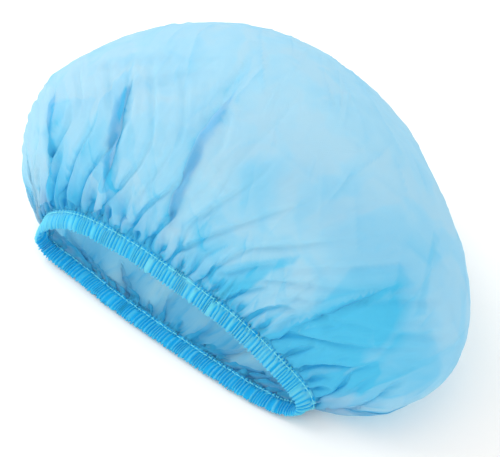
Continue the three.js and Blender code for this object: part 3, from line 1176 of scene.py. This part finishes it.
    def tucked(self, turns: np.ndarray, ways: np.ndarray) -> tuple:
        """Moves places round so that the fabric doubles back on itself at each tuck.

        Args:
            turns: Shares of the way round.
            ways: Shares of the way to the back point.

        Returns:
            The moved shares, how far inside the outer ply each place lies, and how
            far it lies where the fabric is three plies deep.
        """
        moved = turns.copy()
        sunk, over = np.zeros(turns.shape), np.zeros(turns.shape)
        for tuck in TUCKS:
            share = (ways - tuck.start) / (tuck.end - tuck.start)
            middle = tuck.at + tuck.drift * np.clip(share, 0, 1)
            off = turns - middle
            off = (off - np.round(off)) / tuck.width * tuck.side
            strength = smoothstep(share, 0, tuck.fade_in) * (1 - smoothstep(share, 1 - tuck.fade_out, 1))
            strength = strength * (np.abs(off) < 1)
            shift = tuck.lap * strength
            place = off - shift * np.sin(np.pi * off)
            moved = moved - tuck.side * tuck.width * (off - place)
            turn = np.arccos(1 / np.maximum(np.pi * shift, 1.0)) / np.pi
            reach = shift * np.sin(np.pi * turn) - turn
            covered = 1 - smoothstep(np.abs(place), 0.75 * reach, 1.05 * reach + 0.02)
            over = np.maximum(over, covered * smoothstep(reach, 0.0, 0.1))
            inner = smoothstep(off, -0.6, 0.6) * (1 - smoothstep(off, 0.8, 1.0))
            sunk += tuck.depth * inner * strength
        return moved, sunk, over

    def creased(self, turns: np.ndarray, ways: np.ndarray) -> np.ndarray:
        """Gives the depth of the creases at each place.

        Args:
            turns: Shares of the way round.
            ways: Shares of the way to the back point.

        Returns:
            Depths in metres.
        """
        total = np.zeros(turns.shape)
        for crease in CREASES:
            round_by = crease.turn_to - crease.turn_from
            way_by = crease.way_to - crease.way_from
            girth, length = self.usual_girth, self.usual_length
            off = turns - crease.turn_from
            off = off - np.round(off)
            x, y = off * girth, (ways - crease.way_from) * length
            a, b = round_by * girth, way_by * length
            along = (x * a + y * b) / (a * a + b * b)
            beside = (x * b - y * a) / math.hypot(a, b)
            window = smoothstep(along, -0.1, 0.25) * (1 - smoothstep(along, 0.75, 1.1))
            total += crease.depth * window * np.exp(-np.abs(beside / crease.width) ** 1.5)
        return total


@dataclass
class Hem:
    """The turned hem: the edge of the fabric folded over the elastic and sewn down."""

    form: CapForm
    elastic_face: float = 1.1 * MM
    seam_face: float = 0.42 * MM
    fold_crimp: float = 1.3 * MM
    inner_face_deeper: float = 0.7
    elastic_from: float = 0.5 * MM
    elastic_to: float = 7.0 * MM
    elastic_clear: float = 0.78 * MM

    def section(self) -> np.ndarray:
        """Gives the hem's cross-section as distance from the edge, offset, pleat share and crimp."""
        thick, thin = self.elastic_face, self.seam_face
        outer = [
            (0.05, 0.35 * thick, 0.6, 1),
            (0.6, 0.75 * thick, 1, 0.6),
            (1.6, thick + 0.2 * MM, 1, 0.2),
            (3.0, thick + 0.3 * MM, 0.9, 0),
            (4.8, thick + 0.25 * MM, 0.8, 0),
            (6.6, thick + 0.1 * MM, 0.75, 0),
            (7.8, thin + 0.15 * MM, 0.75, 0),
            (8.6, thin, 0.8, 0),
            (9.4, thin, 0.9, 0),
            (10.0, thin + 0.1 * MM, 0.95, 0),
        ]
        inner = [(far, -offset, pleated, crimped) for far, offset, pleated, crimped in reversed(outer)]
        rows = [*inner, (-0.1, 0.0, 0, 1.1), *outer]
        return np.array(rows) * np.array([MM, 1, 1, 1])

    def build(self, pleats: Pleats, finish: bpy.types.Material) -> bpy.types.Object:
        """Makes the hem.

        Args:
            pleats: Its pleats.
            finish: Its material.

        Returns:
            The hem.
        """
        columns = pleats.count * pleats.columns_each
        turns = np.arange(columns) / columns
        place, inward, outward = self.form.hem_frames(turns)
        inner, outer = pleats.wave(turns, 1), pleats.wave(turns, 2)
        shared, crimp = pleats.wave(turns), pleats.wave(turns, 3)
        grid, flat, depth = [], [], []
        for row, (far, offset, pleated, crimped) in enumerate(self.section()):
            seam = smoothstep(np.array(far), 6.0 * MM, 8.4 * MM)
            own = np.where(offset < 0, -inner, outer)
            wave = seam * shared + (1 - seam) * own
            at = far - self.fold_crimp * crimped * (0.5 + 0.5 * outer)
            at = at - 0.25 * self.fold_crimp * crimped * crimp
            inside = smoothstep(np.array(-offset), -0.3 * MM, 0.5 * MM)
            raised = np.clip(0.5 + 0.5 * wave * np.where(offset < 0, -1, 1) / 0.8, 0, 1)
            # Painted shade: deeper blue in the pleats' valleys; the inner face is also made a deeper blue.
            depth.append(2.0 * (1 - raised) ** 1.3 + self.inner_face_deeper * inside)
            height = offset + pleats.height * pleated * wave
            if self.elastic_from < far < self.elastic_to:
                height = np.sign(offset) * np.maximum(np.sign(offset) * height, self.elastic_clear)
            grid.append(place + inward * at[:, None] + outward * height[:, None])
            flat.append(np.stack([turns * 3.1, np.full(columns, row * 0.002)], -1))
        mesh = Mesh()
        mesh.add_grid(np.array(grid), np.array(flat))
        return mesh.build("hem_fabric", finish, np.array(depth))


@dataclass
class StitchRow:
    """The row of thread that sews the hem down, seen on both of its faces."""

    form: CapForm
    far: float = 8.7 * MM
    stitches: int = 150
    thread: float = 0.27 * MM
    stand: float = 0.95 * MM
    dip: float = 0.5 * MM
    gap: float = 0.08
    ride: float = 0.35
    sides: int = 6
    steps: int = 7

    def build(self, pleats: Pleats, finish: bpy.types.Material) -> bpy.types.Object:
        """Makes the stitches of both faces as one piece.

        Args:
            pleats: The hem's pleats, which the stitches cross.
            finish: The thread's material.

        Returns:
            The stitches.
        """
        rng = np.random.default_rng(SEED + 9)
        mesh = Mesh()
        share = np.linspace(0, 1, self.steps)
        angle = 2 * np.pi * np.arange(self.sides) / self.sides
        flat = np.stack(np.broadcast_arrays(share[:, None], angle[None] / 6.3), -1)
        for face in (1, -1):
            starts = (np.arange(self.stitches) + rng.normal(0, 0.05, self.stitches)) / self.stitches
            turns = starts[:, None] + share[None] * (1 - self.gap) / self.stitches
            place, inward, outward = self.form.hem_frames(turns.ravel())
            slope = np.repeat(rng.normal(0, 0.1 * MM, self.stitches), self.steps)
            wander_far = np.repeat(rng.normal(0, 0.12 * MM, self.stitches), self.steps)
            arch = np.tile(np.abs(2 * share - 1) ** 4, self.stitches)
            lift = face * (self.stand - arch * self.dip)
            lift = lift + self.ride * pleats.height * pleats.wave(turns.ravel())
            along = np.tile(2 * share - 1, self.stitches)
            far = self.far + wander_far + slope * along
            centre = place + inward * far[:, None] + outward * lift[:, None]
            centre = centre.reshape(-1, self.steps, 3)
            inward, outward = inward.reshape(centre.shape), outward.reshape(centre.shape)
            thick = self.thread * (1 - 0.75 * np.abs(2 * share - 1) ** 6)
            for stitch in range(self.stitches):
                across = inward[stitch][:, None] * (np.cos(angle)[None, :, None] * thick[:, None, None])
                up = outward[stitch][:, None] * (np.sin(angle)[None, :, None] * thick[:, None, None])
                tube = centre[stitch][:, None] + (across + up)
                first = mesh.add_grid(tube if face > 0 else tube[:, ::-1], flat)
                ends = first + np.arange(self.sides)
                last = ends + (self.steps - 1) * self.sides
                mesh.faces.append(np.roll(ends[::-1], self.sides // 2).reshape(1, -1))
                mesh.faces.append(last.reshape(1, -1))
        return mesh.build("hem_stitches", finish)


class Nodes:
    """Makes the nodes of one material or group, and their links."""

    def __init__(self, tree: bpy.types.NodeTree) -> None:
        """Keeps the tree."""
        self.tree = tree

    def add(self, kind: str, settings: dict | None = None, **values: object) -> bpy.types.Node:
        """Adds a node.

        Args:
            kind: Its type.
            settings: Its own settings by name.
            values: Its inputs, by name with _ for a space: a value, or a socket to link.

        Returns:
            The node.
        """
        node = self.tree.nodes.new(kind)
        for name, value in (settings or {}).items():
            setattr(node, name, value)
        for name, value in values.items():
            key = int(name[1:]) if name[0] == "i" and name[1:].isdigit() else name.replace("_", " ")
            socket = node.inputs[key]
            if isinstance(value, bpy.types.NodeSocket):
                self.tree.links.new(value, socket)
            else:
                socket.default_value = value
        return node

    def math(self, operation: str, *values: object) -> bpy.types.NodeSocket:
        """Adds a Math node and gives its output."""
        inputs = {f"i{k}": value for k, value in enumerate(values)}
        return self.add("ShaderNodeMath", {"operation": operation}, **inputs).outputs[0]

    def range(
        self, value: object, low: float, high: float, to_low: float = 0.0, to_high: float = 1.0
    ) -> bpy.types.NodeSocket:
        """Adds a Map Range node with a smooth rise and gives its output."""
        node = self.add(
            "ShaderNodeMapRange", {"interpolation_type": "SMOOTHSTEP"}, Value=value, From_Min=low,
            From_Max=high, To_Min=to_low, To_Max=to_high,
        )
        return node.outputs[0]

    def blend(self, share: object, first: object, second: object) -> bpy.types.NodeSocket:
        """Adds a Mix node for colours and gives its output."""
        node = self.add("ShaderNodeMix", {"data_type": "RGBA"})
        for socket, value in ((node.inputs[0], share), (node.inputs[6], first), (node.inputs[7], second)):
            if isinstance(value, bpy.types.NodeSocket):
                self.tree.links.new(value, socket)
            else:
                socket.default_value = value
        return node.outputs[2]

    def mix(self, share: object, first: object, second: object) -> bpy.types.NodeSocket:
        """Adds a Mix Shader node and gives its output."""
        return self.add("ShaderNodeMixShader", Fac=share, i1=first, i2=second).outputs[0]


def new_finish(name: str) -> tuple:
    """Makes a material with an empty tree, and gives it with the maker of its nodes."""
    material = bpy.data.materials.new(name)
    material.use_nodes = True
    material.node_tree.nodes.clear()
    return material, Nodes(material.node_tree)


def colour(red: int, green: int, blue: int) -> tuple:
    """Turns a screen colour into the linear one that a shader takes."""
    linear = [((c / 255 + 0.055) / 1.055) ** 2.4 if c > 10 else c / 255 / 12.92 for c in (red, green, blue)]
    return (*linear, 1.0)


def fibre_web() -> bpy.types.NodeTree:
    """Builds the group for spun fibre fabric: cloudy density, stray fibres and bond points.

    Returns:
        The group, which takes flat coordinates in disc widths and puts out the
        density, a height and the bond points' mask.
    """
    group = bpy.data.node_groups.new("fibre_web", "ShaderNodeTree")
    face = group.interface
    face.new_socket("Flat", in_out="INPUT", socket_type="NodeSocketVector")
    face.new_socket("Point Pitch", in_out="INPUT", socket_type="NodeSocketFloat").default_value = 1.0
    for name in ("Density", "Height", "Points"):
        face.new_socket(name, in_out="OUTPUT", socket_type="NodeSocketFloat")
    nodes = Nodes(group)
    start = nodes.add("NodeGroupInput")
    flat = start.outputs["Flat"]
    # From disc widths to millimetres.
    scaled = nodes.add("ShaderNodeVectorMath", {"operation": "SCALE"}, Vector=flat, Scale=533.0).outputs[0]

    def drawn(angle: float, stretch: tuple, scale: float) -> bpy.types.NodeSocket:
        """Adds long thin fibres that run one way."""
        along = nodes.add(
            "ShaderNodeMapping", {"vector_type": "POINT"}, Vector=scaled, Rotation=(0, 0, angle),
            Scale=stretch,
        ).outputs[0]
        return nodes.add(
            "ShaderNodeTexNoise", {"noise_type": "RIDGED_MULTIFRACTAL"}, Vector=along, Scale=scale,
            Detail=1.0, Roughness=0.6, Distortion=0.8,
        ).outputs["Fac"]

    cloud = nodes.add(
        "ShaderNodeTexNoise", Vector=scaled, Scale=0.16, Detail=2.0, Roughness=0.62, Distortion=0.0
    ).outputs["Fac"]
    fibres, others = drawn(0.5, (2.6, 0.35, 1), 1.1), drawn(-0.7, (3.0, 0.4, 1), 0.9)
    strands = nodes.math("MULTIPLY", nodes.math("ADD", fibres, others), 0.28)
    turned = nodes.add(
        "ShaderNodeMapping", {"vector_type": "POINT"}, Vector=scaled, Rotation=(0, 0, 0.785)
    ).outputs[0]
    cell = nodes.add(
        "ShaderNodeTexVoronoi", {"feature": "F1"}, Vector=turned,
        Scale=nodes.math("DIVIDE", 1.0, start.outputs["Point Pitch"]), Randomness=0.0,
    ).outputs["Distance"]
    points = nodes.range(cell, 0.2, 0.34, 1.0, 0.0)
    density = nodes.math("ADD", nodes.math("MULTIPLY", cloud, 0.65), nodes.math("MULTIPLY", strands, 0.55))
    height = nodes.math("SUBTRACT", strands, nodes.math("MULTIPLY", points, 0.5))
    end = nodes.add("NodeGroupOutput")
    for name, socket in (("Density", density), ("Height", height), ("Points", points)):
        group.links.new(socket, end.inputs[name])
    return group


def crinkle() -> bpy.types.NodeTree:
    """Builds the group for the small dents and lines that thin fabric keeps from the pack.

    Returns:
        The group, which takes a place in metres and puts out a height and the patches
        between folds, for painted light and shade on crumpled facets.
    """
    group = bpy.data.node_groups.new("crinkle", "ShaderNodeTree")
    face = group.interface
    face.new_socket("Place", in_out="INPUT", socket_type="NodeSocketVector")
    for name in ("Height", "Patches"):
        face.new_socket(name, in_out="OUTPUT", socket_type="NodeSocketFloat")
    nodes = Nodes(group)
    place = nodes.add("NodeGroupInput").outputs["Place"]
    bent = nodes.add(
        "ShaderNodeTexNoise", Vector=place, Scale=28.0, Detail=2.0, Roughness=0.5
    ).outputs["Color"]
    moved = nodes.add(
        "ShaderNodeVectorMath", {"operation": "MULTIPLY_ADD"}, i0=bent, i1=(0.03, 0.03, 0.03), i2=place
    ).outputs[0]
    wide = nodes.add(
        "ShaderNodeTexNoise", {"noise_type": "RIDGED_MULTIFRACTAL"}, Vector=moved, Scale=16.0, Detail=1.0
    ).outputs["Fac"]
    lines = nodes.range(wide, 0.9, 1.5)
    soft = nodes.add(
        "ShaderNodeTexNoise", Vector=place, Scale=60.0, Detail=1.0, Roughness=0.55
    ).outputs["Fac"]
    height = nodes.math("ADD", nodes.math("MULTIPLY", lines, 0.35), soft)
    clouds = nodes.add(
        "ShaderNodeTexNoise", Vector=moved, Scale=20.0, Detail=2.5, Roughness=0.6, Distortion=0.7
    ).outputs["Fac"]
    # Patches at random places, for painted light and shade on crumpled facets.
    patches = nodes.range(clouds, 0.36, 0.64)
    end = nodes.add("NodeGroupOutput")
    group.links.new(height, end.inputs["Height"])
    group.links.new(patches, end.inputs["Patches"])
    return group


class Dye(Enum):
    """The fabric's blues: where the fibres lie thin, where they lie thick, and as light shines through, and
    a pale blue for painted light on crumpled facets.
    """

    THIN = colour(214, 231, 235)
    THICK = colour(170, 216, 232)
    THROUGH = colour(198, 239, 252)
    DEEP = colour(78, 191, 226)
    DEEP_THROUGH = colour(104, 220, 252)
    HEM_THIN = colour(126, 244, 255)
    HEM_THICK = colour(68, 235, 255)
    HEM_DEEP = colour(2, 190, 248)
    HEM_THROUGH = colour(74, 228, 255)
    HEM_DEEP_THROUGH = colour(16, 205, 250)
    FACET_LIGHT_PALE = colour(226, 233, 237)
    THREAD = colour(136, 242, 254)


@dataclass(frozen=True)
class SpunFabric:
    """The finish of thin spun fabric, through which light shines.

    ply_dye is how far one more ply takes the colour to the deep dye, ply_cover how much
    of the clear share the deepest place loses, and ply_dim how much of the glow. The
    plies it reads carry painted shade as well, and the crinkle patches paint light and
    shade on crumpled facets, paler or deeper about patch_middle, as strong as the mottling.
    """

    name: str
    thin: Dye
    thick: Dye
    deep: Dye
    through: Dye
    deep_through: Dye
    clear_thin: float
    clear_thick: float
    glow: float
    point_pitch: float
    bump: float
    crinkled: float
    facet_light_mottle: float
    ply_dye: float = 0.65
    ply_cover: float = 0.7
    ply_dim: float = 0.4
    patch_middle: float = 0.4

    def build(self, web: bpy.types.NodeTree, dents: bpy.types.NodeTree) -> bpy.types.Material:
        """Makes the material.

        Args:
            web: The group for the fibres.
            dents: The group for the crinkles.

        Returns:
            The material.
        """
        material, nodes = new_finish(self.name)
        flat = nodes.add("ShaderNodeUVMap", {"uv_map": "flat"}).outputs[0]
        fibres = nodes.add("ShaderNodeGroup", {"node_tree": web}, Flat=flat, Point_Pitch=self.point_pitch)
        place = nodes.add("ShaderNodeTexCoord").outputs["Object"]
        dented = nodes.add("ShaderNodeGroup", {"node_tree": dents}, Place=place)
        density = nodes.range(fibres.outputs["Density"], 0.3, 0.75)
        plies = nodes.add("ShaderNodeAttribute", {"attribute_name": "plies"}).outputs["Fac"]
        # Painted light and shade: the patches make crumpled facets paler or deeper blue.
        patches = dented.outputs["Patches"]
        uneven = nodes.math("MULTIPLY", nodes.math("SUBTRACT", self.patch_middle, patches), self.facet_light_mottle)
        laps_and_painted_shade = nodes.math("ADD", nodes.math("MULTIPLY", plies, self.ply_dye), uneven)
        laps_and_painted_shade = nodes.math("MAXIMUM", nodes.math("MINIMUM", laps_and_painted_shade, 1.0), 0.0)
        pale = nodes.math("MULTIPLY", nodes.range(patches, 0.45, 0.9), self.facet_light_mottle)
        tint = nodes.blend(density, self.thin.value, self.thick.value)
        tint = nodes.blend(laps_and_painted_shade, nodes.blend(pale, tint, Dye.FACET_LIGHT_PALE.value), self.deep.value)
        shine = nodes.blend(pale, self.through.value, Dye.FACET_LIGHT_PALE.value)
        shine = nodes.blend(laps_and_painted_shade, shine, self.deep_through.value)
        rough = nodes.range(fibres.outputs["Points"], 0.0, 1.0, 0.62, 0.42)
        coarse = nodes.add(
            "ShaderNodeBump", Strength=self.crinkled, Distance=0.0012, Height=dented.outputs["Height"]
        ).outputs[0]
        fine = nodes.add(
            "ShaderNodeBump", Strength=self.bump, Distance=0.0002, Height=fibres.outputs["Height"],
            Normal=coarse,
        ).outputs[0]
        face = nodes.add(
            "ShaderNodeBsdfPrincipled", Base_Color=tint, Roughness=rough, Normal=fine,
            Specular_IOR_Level=0.35, Sheen_Weight=0.15, Sheen_Roughness=0.4,
        ).outputs[0]
        glow = nodes.add("ShaderNodeBsdfTranslucent", Color=shine, Normal=fine).outputs[0]
        passing = nodes.math("MULTIPLY_ADD", laps_and_painted_shade, -self.ply_dim * self.glow, self.glow)
        cloth = nodes.mix(passing, face, glow)
        clear = nodes.add("ShaderNodeBsdfTransparent", Color=(0.93, 0.98, 1.0, 1.0)).outputs[0]
        share = nodes.math("MULTIPLY", density, self.clear_thick - self.clear_thin)
        share = nodes.math("ADD", share, self.clear_thin)
        covered = nodes.math("SUBTRACT", 1.0, nodes.math("MULTIPLY", laps_and_painted_shade, self.ply_cover))
        share = nodes.math("MULTIPLY", share, covered)
        nodes.add("ShaderNodeOutputMaterial", Surface=nodes.mix(share, cloth, clear))
        return material


@dataclass(frozen=True)
class PlainFinish:
    """The finish of the thread or the elastic: a matt colour with a fine grain."""

    name: str
    light: tuple
    dark: tuple
    grain: float
    rough: float

    def build(self) -> bpy.types.Material:
        """Makes the material.

        Returns:
            The material.
        """
        material, nodes = new_finish(self.name)
        place = nodes.add("ShaderNodeTexCoord").outputs["Object"]
        stretched = nodes.add("ShaderNodeMapping", Vector=place, Scale=(1.0, 1.0, 0.4)).outputs[0]
        grain = nodes.add(
            "ShaderNodeTexNoise", Vector=stretched, Scale=self.grain, Detail=4.0, Roughness=0.6
        ).outputs["Fac"]
        tint = nodes.blend(nodes.range(grain, 0.3, 0.7), self.dark, self.light)
        bump = nodes.add("ShaderNodeBump", Strength=0.5, Distance=0.0001, Height=grain).outputs[0]
        face = nodes.add("ShaderNodeBsdfPrincipled", Base_Color=tint, Roughness=self.rough, Normal=bump)
        nodes.add("ShaderNodeOutputMaterial", Surface=face.outputs[0])
        return material


@dataclass
class Studio:
    """The floor, the lights and the camera."""

    floor_half: float = 8.0
    floor_colour: tuple = colour(254, 251, 248)
    world_light: float = 1.02
    target: tuple = (2.91 * MM, -17.87 * MM, 39.7 * MM)
    azimuth: float = 38.0
    elevation: float = 48.0
    distance: float = 1.16667
    lens: float = 150.0

    def build(self) -> None:
        """Makes the floor, the lights and the camera."""
        self.floor()
        self.lights()
        self.camera()

    def floor(self) -> None:
        """Makes the plain pale floor."""
        half = self.floor_half
        data = bpy.data.meshes.new("floor")
        corners = [(-half, -half, 0), (half, -half, 0), (half, half, 0), (-half, half, 0)]
        data.from_pydata(corners, [], [(0, 1, 2, 3)])
        material = bpy.data.materials.new("pale_floor")
        material.use_nodes = True
        face = material.node_tree.nodes["Principled BSDF"]
        face.inputs["Base Color"].default_value = self.floor_colour
        face.inputs["Roughness"].default_value = 0.8
        face.inputs["Specular IOR Level"].default_value = 0.1
        data.materials.append(material)
        floor = bpy.data.objects.new("floor", data)
        bpy.context.collection.objects.link(floor)

    def lights(self) -> None:
        """Makes the soft lights and the even light all round."""
        self.panel("key_light", (-1.25, 0.1, 0.95), 1.3, 14.0, (1.0, 0.99, 0.97))
        self.panel("fill_light", (0.9, -0.8, 1.0), 1.2, 1.0, (0.97, 0.99, 1.0))
        world = bpy.data.worlds.new("studio")
        bpy.context.scene.world = world
        world.use_nodes = True
        background = world.node_tree.nodes["Background"]
        background.inputs["Color"].default_value = (1.0, 1.0, 1.0, 1.0)
        background.inputs["Strength"].default_value = self.world_light
        scene = bpy.context.scene
        scene.view_settings.view_transform = "Standard"
        scene.view_settings.look = "None"

    def panel(self, name: str, place: tuple, size: float, power: float, tint: tuple) -> None:
        """Makes a square light that faces the cap.

        Args:
            name: Its name.
            place: Where it stands.
            size: The length of its side.
            power: Its power in watts.
            tint: Its colour.
        """
        data = bpy.data.lights.new(name, "AREA")
        data.size = size
        data.energy = power
        data.color = tint
        light = bpy.data.objects.new(name, data)
        light.location = place
        light.rotation_euler = (Vector((0, 0, 0.05)) - Vector(place)).to_track_quat("-Z", "Y").to_euler()
        bpy.context.collection.objects.link(light)

    def camera(self) -> None:
        """Makes the camera at the photograph's angle."""
        side, rise = math.radians(self.azimuth), math.radians(self.elevation)
        back = Vector((math.sin(side) * math.cos(rise), -math.cos(side) * math.cos(rise), math.sin(rise)))
        data = bpy.data.cameras.new("camera")
        data.lens = self.lens
        data.sensor_width = 36.0
        data.clip_start, data.clip_end = 0.05, 20.0
        camera = bpy.data.objects.new("camera", data)
        camera.location = Vector(self.target) + back * self.distance
        camera.rotation_euler = (-back).to_track_quat("-Z", "Y").to_euler()
        bpy.context.collection.objects.link(camera)
        bpy.context.scene.camera = camera


def main() -> None:
    """Builds the cap and its studio, and reports each piece."""
    logging.basicConfig(level=logging.INFO, format="%(name)s: %(message)s")
    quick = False
    form = CapForm()
    pleats = Pleats(form)
    web, dents = fibre_web(), crinkle()
    crown_finish = SpunFabric(
        "crown_fabric", Dye.THIN, Dye.THICK, Dye.DEEP, Dye.THROUGH, Dye.DEEP_THROUGH,
        clear_thin=0.06, clear_thick=0.03, glow=0.7, point_pitch=1.3, bump=0.35, crinkled=0.25, facet_light_mottle=0.26,
    ).build(web, dents)
    hem_finish = SpunFabric(
        "hem_fabric", Dye.HEM_THIN, Dye.HEM_THICK, Dye.HEM_DEEP, Dye.HEM_THROUGH, Dye.HEM_DEEP_THROUGH,
        clear_thin=0.06, clear_thick=0.02, glow=0.42, point_pitch=1.3, bump=0.5, crinkled=0.1, facet_light_mottle=0.1,
    ).build(web, dents)
    thread = PlainFinish("thread", Dye.THREAD.value, Dye.HEM_THIN.value, 3000.0, 0.6).build()
    rubber = PlainFinish("elastic", colour(244, 247, 248), colour(226, 232, 235), 2600.0, 0.55).build()
    crown = Crown(form).build(pleats, crown_finish, quick)
    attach(crown, "root")
    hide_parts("crown")
    hem = Hem(form).build(pleats, hem_finish)
    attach(hem, "root")
    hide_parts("hem")
    stitches = StitchRow(form).build(pleats, thread)
    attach(stitches, "root")
    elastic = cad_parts["elastic"]
    for held in elastic.material_slots:
        held.material = rubber
    for piece in (crown, hem, stitches, elastic):
        data = piece.data
        log.info("%s: %d points, %d faces", piece.name, len(data.vertices), len(data.polygons))
    area = sum(face.area for face in crown.data.polygons)
    log.info("crown area %.4f square metres", area)
    Studio().build()


if __name__ == "__main__":
    main()
